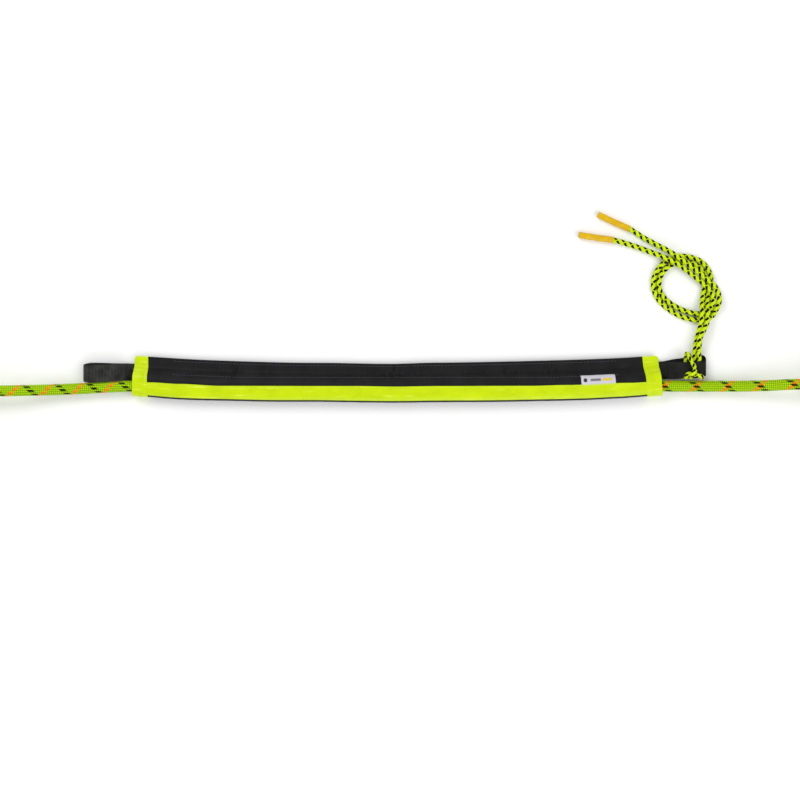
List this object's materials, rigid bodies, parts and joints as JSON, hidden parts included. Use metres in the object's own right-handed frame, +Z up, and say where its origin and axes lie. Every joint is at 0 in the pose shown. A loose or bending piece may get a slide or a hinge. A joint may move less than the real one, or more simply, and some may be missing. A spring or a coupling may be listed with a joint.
{
  "type": "rope protector sleeve",
  "caption": "Fabric rope protector sleeve closed around a rope, with wear strip, end tapes, webbing loops at both ends and a tie cord in a loose knot.",
  "frame": {"origin": "middle of the sleeve's underside, where it rests on a surface", "axes": "+X along the sleeve, +Y from the fold towards the open edge, +Z up out of the surface"},
  "size_m": [0.888, 0.1859, 0.0316],
  "materials": {
    "coated_fabric": "black coated woven polyester, semi-matt",
    "pvc_tape": "glossy neon yellow PVC",
    "hook_and_loop": "black fastener pile",
    "webbing": "black ribbed polyester webbing",
    "label": "white woven label",
    "thread": "black sewing thread",
    "rope": "braided lime sheath with orange and black tracers",
    "core": "white twisted core strands",
    "tie_cord": "braided lime yellow cord with black dashes",
    "heat_shrink": "amber shrunk tubing"
  },
  "bodies": {
    "root": {"back_panel": "coated_fabric", "loop_strip": "hook_and_loop", "end_tape_left_back": "pvc_tape", "end_tape_right_back": "pvc_tape", "webbing_tail_left": "webbing", "webbing_tail_right": "webbing", "webbing_loop_right": "webbing", "bar_tacks_left": "thread", "bar_tacks_right": "thread"},
    "front_flap": {"front_panel": "coated_fabric", "hook_strip": "hook_and_loop", "wear_strip": "pvc_tape", "end_tape_left_front": "pvc_tape", "end_tape_right_front": "pvc_tape", "woven_label": "label", "fastener_stitching": "thread"},
    "rope": {"rope_core": "core", "rope_sheath": "rope", "rope_left": "rope", "rope_right": "rope", "rope_knot_left": "rope", "rope_knot_right": "rope"},
    "loop_left": {"webbing_loop_left": "webbing"},
    "hitch": {"tie_cord_hitch": "tie_cord"},
    "tie_cord": {"tie_cord_leg_a": "tie_cord", "tie_cord_leg_b": "tie_cord", "cord_end_sleeve_a": "heat_shrink", "cord_end_sleeve_b": "heat_shrink"}
  },
  "joints": [
    {"name": "flap_open", "type": "hinge", "parent": "root", "child": "front_flap", "pos_m": [0, -0.0191, 0.0065], "axis": [1, 0, 0], "range_deg": [0, 170]},
    {"name": "rope_slide", "type": "slide", "parent": "root", "child": "rope", "axis": [1, 0, 0], "range_m": [-0.05, 0.05]},
    {"name": "loop_left_lift", "type": "hinge", "parent": "root", "child": "loop_left", "pos_m": [-0.2519, 0.0109, 0.0022], "axis": [0, 1, 0], "range_deg": [0, 50]},
    {"name": "hitch_slide", "type": "slide", "parent": "root", "child": "hitch", "axis": [1, 0, 0], "range_m": [-0.006, 0.002]},
    {"name": "cord_swing", "type": "hinge", "parent": "hitch", "child": "tie_cord", "pos_m": [0.2865, 0.0325, 0.0064], "axis": [1, 0, 0], "range_deg": [0, 80]}
  ]
}
